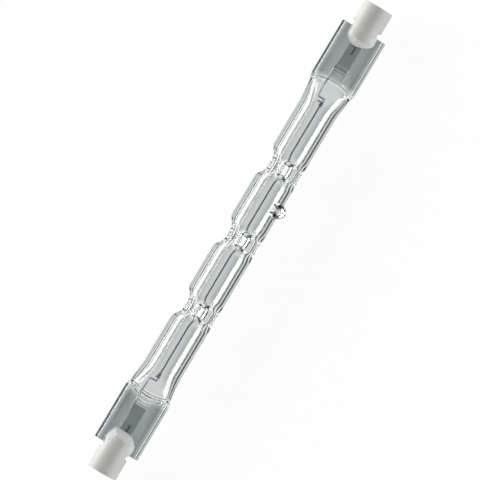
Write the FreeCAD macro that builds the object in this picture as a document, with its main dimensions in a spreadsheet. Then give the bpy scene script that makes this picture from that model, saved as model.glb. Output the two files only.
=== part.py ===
import FreeCAD, Part
import math
import os
import Sketcher

# Linear halogen lamp with recessed single-contact ceramic caps at both ends.
# Every piece is drawn in the lamp's own frame: X along the lamp's axis, Y across the flat of the press
# seals, Z square to that flat. At the end the whole lamp is laid down as it comes to rest on a surface,
# on the round of its tube and the low edges of both press seals.

Vector = FreeCAD.Vector
doc = FreeCAD.newDocument("LinearHalogenLamp")

# Driving dimensions in millimetres and degrees
sheet = doc.addObject("Spreadsheet::Sheet", "Dimensions")
SIZES = {
    "tube_radius": 4.42,
    "tube_wall": 1.1,
    "shoulder_length": 7.9,
    "shoulder_lap": 2.1,
    "shoulder_spread": 0.6,
    "shoulder_fall_power": 2.4,
    "shoulder_round_power": 0.55,
    "chamber_lap": 1.4,
    "chamber_spread": 0.75,
    "chamber_fall_power": 2.2,
    "chamber_round_power": 0.62,
    "chamber_close_power": 12.0,
    "dent_spacing": 17.85,
    "dent_length": 7.6,
    "dent_flat": 1.6,
    "dent_reach": 1.85,
    "lobe_radius": 1.75,
    "bump_half_angle": 50.0,
    "seal_start": 38.3,
    "seal_length": 14.35,
    "seal_width": 10.8,
    "seal_rail_thick": 3.9,
    "seal_web_thick": 3.0,
    "seal_rail_width": 1.25,
    "seal_rounding": 0.7,
    "pad_length": 4.4,
    "pad_width": 3.6,
    "pad_height": 0.25,
    "tip_place": 9.5,
    "tip_angle": 33.0,
    "tip_root": 0.7,
    "tip_base_radius": 2.05,
    "tip_waist_height": 0.35,
    "tip_waist_radius": 1.45,
    "tip_neck_height": 1.6,
    "tip_neck_radius": 0.72,
    "tip_height": 2.4,
    "tip_point_radius": 0.2,
    "tip_bore_start": 1.3,
    "tip_bore_radius": 0.8,
    "tip_bore_end_radius": 0.16,
    "tip_bore_depth": 1.0,
    "cap_radius": 3.5,
    "cap_length": 8.3,
    "cap_overlap": 2.15,
    "cap_slot_room": 1.35,
    "cap_slot_width": 3.76,
    "slot_overrun": 1.0,
    "cap_draft": 0.08,
    "cap_bevel": 0.3,
    "recess_radius": 1.8,
    "recess_depth": 1.7,
    "contact_seat_radius": 1.5,
    "contact_seat_depth": 0.9,
    "contact_thick": 0.75,
    "contact_fit": 0.03,
    "contact_dome": 0.12,
    "cement_radius": 3.75,
    "cement_edge": 0.4,
    "cement_reach": 3.75,
    "cement_shoulder_reach": 3.35,
    "cement_shoulder_radius": 2.3,
    "foil_inset": 3.9,
    "foil_cover": 1.65,
    "foil_width": 2.9,
    "foil_thick": 0.04,
    "foil_edge": 0.35,
    "outer_lead_radius": 0.33,
    "outer_lead_lap": 4.1,
    "weld_gap": 0.02,
    "lead_hole_radius": 0.5,
    "inner_lead_radius": 0.2,
    "lead_hole_back": 1.2,
    "inner_lead_side": 1.6,
    "inner_lead_weld": 1.6,
    "inner_lead_standoff": 2.7,
    "spud_length": 0.7,
    "coil_radius": 0.24,
    "leg_radius": 0.06,
    "leg_length": 5.6,
    "sleeve_radius": 0.42,
    "sleeve_length": 1.1,
    "rest_tilt": 15.4,
}
for row, (alias, value) in enumerate(SIZES.items(), start=1):
    sheet.set(f"A{row}", alias)
    sheet.set(f"B{row}", str(value))
    sheet.setAlias(f"B{row}", alias)
doc.recompute()


def size(alias):
    return float(sheet.get(alias))


def plane_of(body, role):
    return next(f for f in body.Origin.OriginFeatures if f.Role == role)


def sketch_on(body, role, name, offset=0.0):
    """A sketch on one of the body's own origin planes, moved along the plane's normal by offset."""
    sketch = body.newObject("Sketcher::SketchObject", name)
    sketch.AttachmentSupport = [(plane_of(body, role), "")]
    sketch.MapMode = "FlatFace"
    sketch.AttachmentOffset = FreeCAD.Placement(Vector(0, 0, offset), FreeCAD.Rotation())
    return sketch


def draw_outline(sketch, points):
    """A closed outline of straight lines whose ends are tied together."""
    count = len(points)
    for i, (u, v) in enumerate(points):
        u_next, v_next = points[(i + 1) % count]
        sketch.addGeometry(Part.LineSegment(Vector(u, v, 0), Vector(u_next, v_next, 0)), False)
    for i in range(count):
        sketch.addConstraint(Sketcher.Constraint("Coincident", i, 2, (i + 1) % count, 1))
    return sketch


def draw_circle(sketch, radius_alias, centre=(0.0, 0.0)):
    """A circle whose radius is bound to a cell of the sheet."""
    circle = Part.Circle(Vector(centre[0], centre[1], 0), Vector(0, 0, 1), size(radius_alias))
    index = sketch.addGeometry(circle, False)
    constraint = sketch.addConstraint(Sketcher.Constraint("Radius", index, size(radius_alias)))
    sketch.setExpression(f"Constraints[{constraint}]", f"Dimensions.{radius_alias}")
    return sketch


def x_axis_of(body):
    return (plane_of(body, "X_Axis"), [""])


def turn_profile(body, sketch, feature="Revolution"):
    """A full turn of a sketch about the body's X axis."""
    turned = body.newObject(f"PartDesign::{feature}", feature)
    turned.Profile = sketch
    turned.ReferenceAxis = x_axis_of(body)
    turned.Angle = 360.0
    return turned


def edges_where(shape, test):
    """Names of the edges of a shape whose two ends and middle all pass a test."""
    names = []
    for number, edge in enumerate(shape.Edges, start=1):
        middle = edge.valueAt((edge.FirstParameter + edge.LastParameter) / 2)
        if all(test(point) for point in [v.Point for v in edge.Vertexes] + [middle]):
            names.append(f"Edge{number}")
    return names


def round_edges(body, base, names, radius_alias):
    rounded = body.newObject("PartDesign::Fillet", "Rounding")
    rounded.Base = (base, names)
    rounded.setExpression("Radius", f"Dimensions.{radius_alias}")
    return rounded


def bevel_edges(body, base, names, size_alias):
    bevel = body.newObject("PartDesign::Chamfer", "Bevel")
    bevel.Base = (base, names)
    bevel.setExpression("Size", f"Dimensions.{size_alias}")
    return bevel


# Where the lamp's ends are: b is the end at +X, and a is the same end turned half round about Z
ENDS = {"a": 180.0, "b": 0.0}
UPRIGHT = Vector(0, 0, 1)
AXIS = Vector(1, 0, 0)


def end_place(end, offset=Vector(0, 0, 0)):
    turned = FreeCAD.Placement(Vector(0, 0, 0), FreeCAD.Rotation(UPRIGHT, ENDS[end]))
    return turned.multiply(FreeCAD.Placement(offset, FreeCAD.Rotation()))


def lead_side(end):
    """Both inner leads lie on the +Y side of the lamp, so the turned end is drawn the other way round."""
    return -1.0 if end == "a" else 1.0


# The leads and foils share one plane: the inner leads run on the lamp's axis, the foils lie just under
# them, and the thicker outer leads sit a little higher on the same foils.
FOIL_Z = -size("inner_lead_radius") - size("weld_gap") - size("foil_thick") / 2
OUTER_LEAD_Z = size("outer_lead_radius") - size("inner_lead_radius")

# Places along the lamp that follow the press seals
SEAL_STOP = size("seal_start") + size("seal_length")
CAP_START = SEAL_STOP - size("cap_overlap")
CAP_SLOT_DEPTH = size("cap_overlap") + size("cap_slot_room")
SHOULDER_END = size("seal_start") + size("shoulder_lap")
SHOULDER_START = SHOULDER_END - size("shoulder_length")
CHAMBER_END = size("seal_start") + size("chamber_lap")
INNER_LEAD_CROSS = size("seal_start") - size("inner_lead_standoff")
FOIL_START = size("seal_start") + size("foil_inset")
FOIL_LENGTH = SEAL_STOP - size("foil_cover") - FOIL_START
OUTER_LEAD_START = FOIL_START + FOIL_LENGTH - size("outer_lead_lap")

# Rest of the lamp on a surface: it lies on the lowest line of its tube, turned a little about its
# axis. The round tube holds it at any turn at which the edges of the press seals stay clear.
REST_TILT = size("rest_tilt")
corner_y = size("seal_width") / 2 - size("seal_rounding")
corner_z = size("seal_rail_thick") / 2 - size("seal_rounding")
corner_reach = math.hypot(corner_y, corner_z)

# The middle of the lamp's outline in Y, between the exhaust tip and the upper edges of the seals
tip_slant = math.radians(size("tip_angle") - REST_TILT)
tip_reach = size("tube_radius") + size("tip_height")
tip_out = tip_reach * math.cos(tip_slant) + size("tip_point_radius") * abs(math.sin(tip_slant))
seal_out = corner_reach * math.cos(math.radians(REST_TILT) - math.atan2(corner_z, corner_y))
seal_out += size("seal_rounding")
REST = FreeCAD.Placement(
    Vector(0, (tip_out - seal_out) / 2, size("tube_radius")),
    FreeCAD.Rotation(AXIS, REST_TILT),
)


# Quartz envelope

DENT_ANGLES = (0, 120, 240)
DENT_STEPS = 4
SHOULDER_PARTS = (0.0, 0.45, 0.7, 0.86, 0.95)
CHAMBER_PARTS = (0.0, 0.45, 0.7, 0.86, 0.95, 0.99)


class DentedSection:
    """The section in the middle of a dimple: three round lobes joined by three hollow arcs.

    The arcs meet with no corner. The lobes' tips stay on the tube's own radius, 60 degrees from the
    dents, and dent_reach is how far from the axis the floor of a dent stays.
    """

    def __init__(self):
        self.lobe = size("lobe_radius")
        self.lobe_centre = size("tube_radius") - self.lobe
        reach = size("dent_reach")
        square = self.lobe_centre**2 + reach**2 - self.lobe_centre * reach - self.lobe**2
        self.hollow = square / (2 * self.lobe + self.lobe_centre - 2 * reach)
        self.hollow_centre = reach + self.hollow
        joined = self.lobe + self.hollow
        self.lobe_turn = math.pi - math.acos(
            (self.lobe_centre**2 + joined**2 - self.hollow_centre**2) / (2 * self.lobe_centre * joined)
        )
        self.hollow_turn = self.lobe_turn - math.radians(60)
        lobe_run = self.lobe * self.lobe_turn
        self.lobe_part = lobe_run / (lobe_run + self.hollow * self.hollow_turn)

    def point(self, part):
        """A point on the way from the tip of a lobe, on the first axis, to the floor of a dent."""
        if part <= self.lobe_part:
            angle = self.lobe_turn * part / self.lobe_part
            return self.lobe_centre + self.lobe * math.cos(angle), self.lobe * math.sin(angle)
        left = (1 - part) / (1 - self.lobe_part)
        angle = math.radians(240) - self.hollow_turn * left
        return (
            self.hollow_centre * math.cos(math.radians(60)) + self.hollow * math.cos(angle),
            self.hollow_centre * math.sin(math.radians(60)) + self.hollow * math.sin(angle),
        )


def oval_point(x, degrees, half_y, half_z):
    angle = math.radians(degrees)
    return Vector(x, half_y * math.cos(angle), half_z * math.sin(angle))


def outer_point(section, x, dent, part, side, squeeze, half_y, half_z):
    """A point of the tube's outside between a lobe (part 0) and the dent at the given angle (part 1)."""
    u, v = section.point(part)
    lobe = math.radians(dent - 60 * side)
    dented = Vector(
        x,
        u * math.cos(lobe) - side * v * math.sin(lobe),
        u * math.sin(lobe) + side * v * math.cos(lobe),
    )
    plain = oval_point(x, dent - 60 * side * (1 - part), half_y, half_z)
    return dented * squeeze + plain * (1 - squeeze)


def outer_ring(section, x, squeeze, half_y, half_z):
    """A section of the tube's outside, from round (squeeze 0) to fully dented (squeeze 1)."""
    edges = []
    for dent in DENT_ANGLES:
        points = [
            outer_point(section, x, at, part, side, squeeze, half_y, half_z)
            for at, part, side in (
                (dent, section.lobe_part, 1),
                (dent, 1, 1),
                (dent, section.lobe_part, -1),
                (dent, 0, -1),
                (dent + 120, section.lobe_part, 1),
            )
        ]
        edges.append(Part.Arc(*points[0:3]).toShape())
        edges.append(Part.Arc(*points[2:5]).toShape())
    return Part.Wire(edges)


def bore_ring(x, push, half_y, half_z):
    """A section of the hollow, where push brings three rounded bumps from the wall towards the axis."""
    half_bump = size("bump_half_angle")
    open_radius = size("tube_radius") - size("tube_wall")
    left = 1 - push * (1 - (size("dent_reach") - size("tube_wall")) / open_radius)
    edges = []
    for dent in DENT_ANGLES:
        start = oval_point(x, dent - half_bump, half_y, half_z)
        crest = oval_point(x, dent, half_y * left, half_z * left)
        stop = oval_point(x, dent + half_bump, half_y, half_z)
        between = oval_point(x, dent + 60, half_y, half_z)
        following = oval_point(x, dent + 120 - half_bump, half_y, half_z)
        edges.append(Part.Arc(start, crest, stop).toShape())
        edges.append(Part.Arc(stop, between, following).toShape())
    return Part.Wire(edges)


def dent_stations(steps):
    """Places along the lamp where a section is drawn in the dimples, with how far it is dented."""
    half = size("dent_length") / 2
    flat = size("dent_flat") / 2
    stations = []
    for step in range(steps + 1):
        squeeze = step / steps
        rise = 0.5 - math.sin(math.asin(1 - 2 * squeeze) / 3)
        from_centre = half - (half - flat) * rise
        for centre in (-size("dent_spacing"), 0.0, size("dent_spacing")):
            stations.append((centre - from_centre, squeeze))
            stations.append((centre + from_centre, squeeze))
    return stations


def outer_skin():
    """The outside of the tube: three dimpled places, and shoulders that flatten into the press seals."""
    section = DentedSection()
    radius = size("tube_radius")
    reach = SHOULDER_END - SHOULDER_START
    rings = [(x, squeeze, radius, radius) for x, squeeze in dent_stations(DENT_STEPS)]
    for part in SHOULDER_PARTS:
        x = SHOULDER_START + reach * part
        half_y = radius + size("shoulder_spread") * part * part * (3 - 2 * part)
        fall = 1 - part ** size("shoulder_fall_power")
        half_z = radius * fall ** size("shoulder_round_power")
        rings += [(x, 0.0, half_y, half_z), (-x, 0.0, half_y, half_z)]
    return Part.makeLoft([outer_ring(section, *values) for values in sorted(rings)], True, True)


def bore_skin():
    """The hollow inside: one wall thickness in, spreading and flattening where the seals close it."""
    radius = size("tube_radius") - size("tube_wall")
    reach = CHAMBER_END - SHOULDER_START
    rings = [(x, push, radius, radius) for x, push in dent_stations(DENT_STEPS)]
    for part in CHAMBER_PARTS:
        x = SHOULDER_START + reach * part
        spread = radius + size("chamber_spread") * part * part * (3 - 2 * part)
        half_y = spread * math.sqrt(1 - part ** size("chamber_close_power"))
        fall = 1 - part ** size("chamber_fall_power")
        half_z = radius * fall ** size("chamber_round_power")
        rings += [(x, 0.0, half_y, half_z), (-x, 0.0, half_y, half_z)]
    return Part.makeLoft([bore_ring(*values) for values in sorted(rings)], True, True)


def press_seal(end, name):
    """The tube's end pressed flat: an I section with raised rails, rounded at its corners."""
    body = doc.addObject("PartDesign::Body", name)
    half = size("seal_width") / 2
    rail = half - size("seal_rail_width")
    foot = rail - (size("seal_rail_thick") - size("seal_web_thick")) / 2
    high = size("seal_rail_thick") / 2
    low = size("seal_web_thick") / 2
    lower = [(-half, -high), (-rail, -high), (-foot, -low), (foot, -low), (rail, -high), (half, -high)]
    upper = [(-y, -z) for y, z in lower]
    sketch = draw_outline(sketch_on(body, "YZ_Plane", "Section"), lower + upper)
    pad = body.newObject("PartDesign::Pad", "Pressing")
    pad.Profile = sketch
    pad.setExpression("Length", "Dimensions.seal_length")
    doc.recompute()
    corners = edges_where(pad.Shape, lambda p: abs(abs(p.y) - half) < 1e-6)
    round_edges(body, pad, corners, "seal_rounding")
    body.Placement = end_place(end, Vector(size("seal_start"), 0, 0))
    return body


def seal_pad(end):
    """The low raised place over the weld of the inner lead, on both faces of the seal."""
    body = doc.addObject("PartDesign::Body", f"SealPad_{end}")
    half = size("pad_width") / 2
    stop = size("pad_length")
    sketch = draw_outline(
        sketch_on(body, "XY_Plane", "Outline"), [(0, -half), (stop, -half), (stop, half), (0, half)]
    )
    pad = body.newObject("PartDesign::Pad", "Raised")
    pad.Profile = sketch
    pad.SideType = "Symmetric"
    pad.setExpression("Length", "Dimensions.seal_web_thick + 2 * Dimensions.pad_height")
    doc.recompute()
    corners = edges_where(pad.Shape, lambda p: abs(p.x - stop) < 1e-6 and abs(abs(p.y) - half) < 1e-6)
    round_edges(body, pad, corners, "seal_rounding")
    body.Placement = end_place(end, Vector(size("seal_start") - size("seal_rounding"), 0, 0))
    return body


def radial_place(height):
    """A place at a height above the lamp's axis, on the line of the exhaust tip."""
    angle = math.radians(size("tip_angle"))
    outward = Vector(0, -math.cos(angle), math.sin(angle))
    return FreeCAD.Placement(
        Vector(size("tip_place"), 0, 0) + outward * height, FreeCAD.Rotation(AXIS, outward)
    )


def exhaust_tip():
    """The tube through which the lamp was pumped and filled, drawn off to a point."""
    body = doc.addObject("PartDesign::Body", "ExhaustTip")
    outline = [
        (-size("tip_root"), 0),
        (-size("tip_root"), size("tip_base_radius")),
        (size("tip_waist_height"), size("tip_waist_radius")),
        (size("tip_neck_height"), size("tip_neck_radius")),
        (size("tip_height"), size("tip_point_radius")),
        (size("tip_height"), 0),
    ]
    turn_profile(body, draw_outline(sketch_on(body, "XY_Plane", "Profile"), outline))
    body.Placement = radial_place(size("tube_radius"))
    return body


def socket(kind, name, place, **sizes):
    """A hollow in the glass that a lead or a foil fills exactly."""
    tool = doc.addObject(f"Part::{kind}", name)
    for key, expression in sizes.items():
        tool.setExpression(key, expression)
    tool.Placement = place
    return tool


def along_x(x, y, z):
    return FreeCAD.Placement(Vector(x, y, z), FreeCAD.Rotation(Vector(0, 1, 0), 90))


def quartz_envelope():
    tube = doc.addObject("Part::Feature", "TubeOutside")
    tube.Shape = outer_skin()
    bore = doc.addObject("Part::Feature", "Bore")
    bore.Shape = bore_skin()
    outside = [tube, exhaust_tip()]
    hollows = [bore]
    hollows.append(
        socket(
            "Cone",
            "TipBore",
            radial_place(size("tube_radius") - size("tip_bore_start")).multiply(along_x(0, 0, 0)),
            Radius1="Dimensions.tip_bore_radius",
            Radius2="Dimensions.tip_bore_end_radius",
            Height="Dimensions.tip_bore_start + Dimensions.tip_bore_depth",
        )
    )
    foil_corner = Vector(FOIL_START, -size("foil_width") / 2, FOIL_Z - size("foil_thick") / 2)
    for end in ENDS:
        outside += [press_seal(end, f"PressSeal_{end}"), seal_pad(end)]
        foil = socket(
            "Box",
            f"FoilSlot_{end}",
            end_place(end, foil_corner),
            Width="Dimensions.foil_width",
            Height="Dimensions.foil_thick",
        )
        foil.Length = FOIL_LENGTH
        outer = socket(
            "Cylinder",
            f"OuterLeadHole_{end}",
            end_place(end).multiply(along_x(OUTER_LEAD_START, 0, OUTER_LEAD_Z)),
            Radius="Dimensions.outer_lead_radius",
            Height="Dimensions.seal_length",
        )
        inner_x = CHAMBER_END - size("lead_hole_back")
        inner = socket(
            "Cylinder",
            f"InnerLeadHole_{end}",
            end_place(end).multiply(along_x(inner_x, lead_side(end) * size("inner_lead_side"), 0)),
            Radius="Dimensions.inner_lead_radius",
        )
        inner.Height = FOIL_START + size("inner_lead_weld") - inner_x
        hollows += [foil, outer, inner]
    solid = doc.addObject("Part::MultiFuse", "Outside")
    solid.Shapes = outside
    hollow = doc.addObject("Part::MultiFuse", "Hollows")
    hollow.Shapes = hollows
    envelope = doc.addObject("Part::Cut", "quartz_envelope")
    envelope.Base = solid
    envelope.Tool = hollow
    envelope.Placement = REST
    return envelope


# Caps, cement and contacts, drawn at the +X end

def barrel_profile():
    """Half of a cap's outside: the slotted lobes taper a little, as pressed, and the rest is round."""
    rim = size("cap_radius")
    length = size("cap_length")
    return [(0, 0), (0, rim - size("cap_draft")), (CAP_SLOT_DEPTH, rim), (length, rim), (length, 0)]


def ceramic_cap(end):
    """A ceramic cap: round, slotted to straddle the press seal, with a recessed seat for the contact."""
    body = doc.addObject("PartDesign::Body", f"ceramic_cap_{end}")
    length = size("cap_length")
    barrel = draw_outline(sketch_on(body, "XY_Plane", "BarrelProfile"), barrel_profile())
    turn_profile(body, barrel)
    floor = length - size("recess_depth")
    seat = floor - size("contact_seat_depth")
    wide = size("recess_radius")
    narrow = size("contact_seat_radius")
    lead = size("lead_hole_radius")
    profile = [
        (0, 0), (length, 0), (length, wide), (floor, wide),
        (floor, narrow), (seat, narrow), (seat, lead), (0, lead),
    ]
    turn_profile(body, draw_outline(sketch_on(body, "XY_Plane", "RecessProfile"), profile), "Groove")
    doc.recompute()
    slot = body.newObject("PartDesign::Pocket", "SealSlot")
    half = size("cap_slot_width") / 2
    slot.Profile = draw_outline(
        sketch_on(body, "XZ_Plane", "SlotOutline"),
        [(0, -half), (CAP_SLOT_DEPTH, -half), (CAP_SLOT_DEPTH, half), (0, half)],
    )
    slot.SideType = "Symmetric"
    slot.setExpression("Length", "2 * Dimensions.cap_radius + Dimensions.slot_overrun")
    doc.recompute()
    rim = size("cap_radius")
    rims = edges_where(
        slot.Shape, lambda p: abs(p.x - length) < 1e-6 and abs(math.hypot(p.y, p.z) - rim) < 1e-6
    )
    bevel_edges(body, slot, rims, "cap_bevel")
    body.Placement = REST.multiply(end_place(end, Vector(CAP_START, 0, 0)))
    return body


def end_contact(end):
    """The contact button in the bottom of the cap's recess, with a slightly raised middle."""
    body = doc.addObject("PartDesign::Body", f"end_contact_{end}")
    wide = size("contact_seat_radius") - size("contact_fit")
    thick = size("contact_thick")
    dome = thick + size("contact_dome")
    profile = [(0, 0), (dome, 0), (dome, wide / 2), (thick, wide), (0, wide)]
    turn_profile(body, draw_outline(sketch_on(body, "XY_Plane", "Profile"), profile))
    doc.recompute()
    body.Placement = REST.multiply(end_place(end, Vector(contact_back(), 0, 0)))
    return body


def contact_back():
    recess_floor = CAP_START + size("cap_length") - size("recess_depth")
    return recess_floor - size("contact_seat_depth")


def cap_cement(end):
    """Cement that holds a cap: a rounded collar over both faces of the seal and a filling in the slot."""
    collar = doc.addObject("PartDesign::Body", f"CementCollar_{end}")
    radius = size("cement_radius")
    back = SEAL_STOP - size("cement_reach")
    shoulder = SEAL_STOP - size("cement_shoulder_reach")
    outline = [
        (back, 0), (back, size("cement_edge")), (shoulder, size("cement_shoulder_radius")),
        (CAP_START, radius - size("cement_edge")), (SEAL_STOP, radius), (SEAL_STOP, 0),
    ]
    turn_profile(collar, draw_outline(sketch_on(collar, "XY_Plane", "Profile"), outline))
    fill = doc.addObject("Part::Box", f"CementFill_{end}")
    slot_floor = CAP_START + CAP_SLOT_DEPTH
    fill_half = math.sqrt(size("cap_radius") ** 2 - (size("cap_slot_width") / 2) ** 2)
    fill.Length = slot_floor - SEAL_STOP + size("seal_rounding")
    fill.Width = 2 * fill_half
    fill.setExpression("Height", "Dimensions.cap_slot_width")
    fill.Placement.Base = Vector(slot_floor - fill.Length.Value, -fill_half, -size("cap_slot_width") / 2)
    cement = doc.addObject("Part::MultiFuse", f"CementShape_{end}")
    cement.Shapes = [collar, fill]
    seal = press_seal("b", f"SealInCement_{end}")
    lobes = doc.addObject("Part::Cut", f"CapLobes_{end}")
    barrel = doc.addObject("PartDesign::Body", f"CapBarrel_{end}")
    turn_profile(barrel, draw_outline(sketch_on(barrel, "XY_Plane", "BarrelProfile"), barrel_profile()))
    barrel.Placement.Base = Vector(CAP_START, 0, 0)
    slot = doc.addObject("Part::Box", f"CapSlot_{end}")
    slot.Length = CAP_SLOT_DEPTH
    slot.setExpression("Width", "2 * Dimensions.cap_radius")
    slot.setExpression("Height", "Dimensions.cap_slot_width")
    slot.Placement.Base = Vector(CAP_START, -size("cap_radius"), -size("cap_slot_width") / 2)
    lobes.Base = barrel
    lobes.Tool = slot
    lead = doc.addObject("Part::Cylinder", f"LeadInCement_{end}")
    lead.setExpression("Radius", "Dimensions.outer_lead_radius")
    lead.setExpression("Height", "Dimensions.cap_length")
    lead.Placement = along_x(SEAL_STOP - size("seal_rounding"), 0, OUTER_LEAD_Z)
    others = doc.addObject("Part::MultiFuse", f"CementOthers_{end}")
    others.Shapes = [seal, lobes, lead]
    shaped = doc.addObject("Part::Cut", f"cap_cement_{end}")
    shaped.Base = cement
    shaped.Tool = others
    shaped.Placement = REST.multiply(end_place(end))
    return shaped


# Leads, foils and filament

def outer_lead(end):
    """The thick lead from the outer end of the foil, through the cap, to the back of the contact."""
    lead = doc.addObject("Part::Cylinder", f"outer_lead_{end}")
    lead.setExpression("Radius", "Dimensions.outer_lead_radius")
    lead.Height = contact_back() - OUTER_LEAD_START
    start = along_x(OUTER_LEAD_START, 0, OUTER_LEAD_Z)
    lead.Placement = REST.multiply(end_place(end)).multiply(start)
    return lead


def seal_foil(end):
    """The thin foil in the press seal, flat in the middle and feathered to a knife edge on both sides."""
    body = doc.addObject("PartDesign::Body", f"seal_foil_{end}")
    half = size("foil_width") / 2
    flat = half - size("foil_edge")
    thick = size("foil_thick") / 2
    section = [(-half, 0), (-flat, -thick), (flat, -thick), (half, 0), (flat, thick), (-flat, thick)]
    pad = body.newObject("PartDesign::Pad", "Strip")
    pad.Profile = draw_outline(sketch_on(body, "YZ_Plane", "Section"), section)
    pad.Length = FOIL_LENGTH
    body.Placement = REST.multiply(end_place(end, Vector(FOIL_START, 0, FOIL_Z)))
    return body


def inner_lead(end):
    """The thin lead from the foil into the tube, bent square to the axis and along it to the filament."""
    body = doc.addObject("PartDesign::Body", f"inner_lead_{end}")
    away = lead_side(end) * size("inner_lead_side")
    cross = INNER_LEAD_CROSS
    corners = [
        (FOIL_START + size("inner_lead_weld"), away),
        (cross, away),
        (cross, 0.0),
        (cross - size("spud_length"), 0.0),
    ]
    route = sketch_on(body, "XY_Plane", "Route")
    for start, stop in zip(corners, corners[1:]):
        route.addGeometry(Part.LineSegment(Vector(*start, 0), Vector(*stop, 0)), False)
    for i in range(len(corners) - 2):
        route.addConstraint(Sketcher.Constraint("Coincident", i, 2, i + 1, 1))
    section = sketch_on(body, "YZ_Plane", "Round", corners[0][0])
    draw_circle(section, "inner_lead_radius", (away, 0.0))
    doc.recompute()
    pipe = body.newObject("PartDesign::AdditivePipe", "Wire")
    pipe.Profile = section
    pipe.Spine = (route, [f"Edge{i + 1}" for i in range(len(corners) - 1)])
    pipe.Transition = "Right corner"
    body.Placement = REST.multiply(end_place(end))
    return body


def filament():
    """One wire from end to end: four coiled lengths, bare legs through the dimples, and end sleeves.

    The coils are drawn at their outer diameter.
    """
    body = doc.addObject("PartDesign::Body", "filament")
    coil = size("coil_radius")
    leg = size("leg_radius")
    sleeve = size("sleeve_radius")
    tip = INNER_LEAD_CROSS - size("spud_length")
    shoulder = tip - size("sleeve_length")
    half_leg = size("leg_length") / 2
    outline = [(-tip, 0), (-tip, sleeve), (-shoulder, sleeve), (-shoulder, coil)]
    for centre in (-size("dent_spacing"), 0.0, size("dent_spacing")):
        outline += [(centre - half_leg, coil), (centre - half_leg, leg)]
        outline += [(centre + half_leg, leg), (centre + half_leg, coil)]
    outline += [(shoulder, coil), (shoulder, sleeve), (tip, sleeve), (tip, 0)]
    turn_profile(body, draw_outline(sketch_on(body, "XY_Plane", "Profile"), outline))
    body.Placement = REST
    return body


pieces = [quartz_envelope(), filament()]
for end in ENDS:
    pieces += [
        ceramic_cap(end),
        cap_cement(end),
        end_contact(end),
        outer_lead(end),
        seal_foil(end),
        inner_lead(end),
    ]
doc.recompute()

for item in doc.Objects:
    if "Invalid" in item.State or "Error" in item.State:
        raise RuntimeError(f"{item.Name} could not be built: {item.State}")
os.makedirs("parts", exist_ok=True)
for piece in pieces:
    if piece.Shape.isNull() or not piece.Shape.isValid():
        raise RuntimeError(f"{piece.Name} is not a sound solid")
for piece in pieces:
    piece.Label = piece.Name
    piece.Shape.exportStep(f"parts/{piece.Label}.step")
    print(f"{piece.Label}: {len(piece.Shape.Solids)} solid, {piece.Shape.Volume:.2f} cubic mm")
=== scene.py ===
import bmesh
import bpy
import math
from mathutils import Matrix, Vector, noise


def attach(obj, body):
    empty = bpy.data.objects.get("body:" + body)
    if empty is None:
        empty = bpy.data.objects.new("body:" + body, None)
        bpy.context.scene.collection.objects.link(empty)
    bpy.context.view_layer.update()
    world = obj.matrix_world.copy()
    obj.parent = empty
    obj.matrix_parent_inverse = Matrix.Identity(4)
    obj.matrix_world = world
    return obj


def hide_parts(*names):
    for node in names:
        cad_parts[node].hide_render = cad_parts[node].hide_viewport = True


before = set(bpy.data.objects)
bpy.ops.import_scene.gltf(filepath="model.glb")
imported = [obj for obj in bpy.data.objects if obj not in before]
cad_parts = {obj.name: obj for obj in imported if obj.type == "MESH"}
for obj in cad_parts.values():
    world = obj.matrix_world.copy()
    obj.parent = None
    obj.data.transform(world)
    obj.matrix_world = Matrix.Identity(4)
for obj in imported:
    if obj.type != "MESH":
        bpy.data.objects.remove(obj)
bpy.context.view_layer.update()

# Every piece is modelled in millimetres in the lamp's own frame: X along its axis, Y across the flat of
# the press seals, Z square to them. It is then laid down in the part's frame, in metres, as it rests.

MM = 0.001
REST_TILT = math.radians(15.4)
AXIS_AT_REST = Vector((0, 0.000499, 0.00442))
REST = Matrix.Translation(AXIS_AT_REST) @ Matrix.Rotation(REST_TILT, 4, "X") @ Matrix.Scale(MM, 4)
ENDS = {"a": -1, "b": 1}

# Vector noise, which makes the tip and the cement uneven, is another in each run unless it has a seed.
noise.seed_set(7)

# The tube, its three dimples, and its shoulders outside and inside
TUBE_RADIUS = 4.42
TUBE_WALL = 1.1
TUBE_SIDES = 132
DENT_SPACING = 17.85
DENT_PLACES = (-DENT_SPACING, 0.0, DENT_SPACING)
DENT_LENGTH = 7.6
DENT_FLAT = 1.6
DENT_REACH = 1.85
LOBE_RADIUS = 1.75
SHOULDER_START = 32.5
SHOULDER_END = 40.4
SHOULDER_SPREAD = 0.6
CHAMBER_END = 39.7
CHAMBER_SPREAD = 0.75

# The exhaust tip and its bore, as radii at heights over the tube's surface. Its unevenness comes from
# noise of so many waves in a millimetre, as the cement's does.
TIP_PLACE = 9.5
TIP_ANGLE = math.radians(33)
TIP_FOOT_RADIUS = 2.4
TIP_LEAN = 0.3
TIP_UNEVEN = 0.2
TIP_WAVES = 2.3
TIP_PROFILE = [
    (-0.7, 2.15), (-0.3, 2.12), (0.0, 2.06), (0.15, 1.9), (0.3, 1.72), (0.5, 1.6), (0.8, 1.52),
    (1.15, 1.4), (1.5, 1.2), (1.8, 0.97), (2.05, 0.72), (2.22, 0.5), (2.34, 0.28), (2.4, 0.08),
]
TIP_BORE_PROFILE = [(-1.3, 0.8), (-0.8, 0.7), (-0.3, 0.55), (0.2, 0.42), (0.7, 0.28), (1.0, 0.16)]

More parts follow.
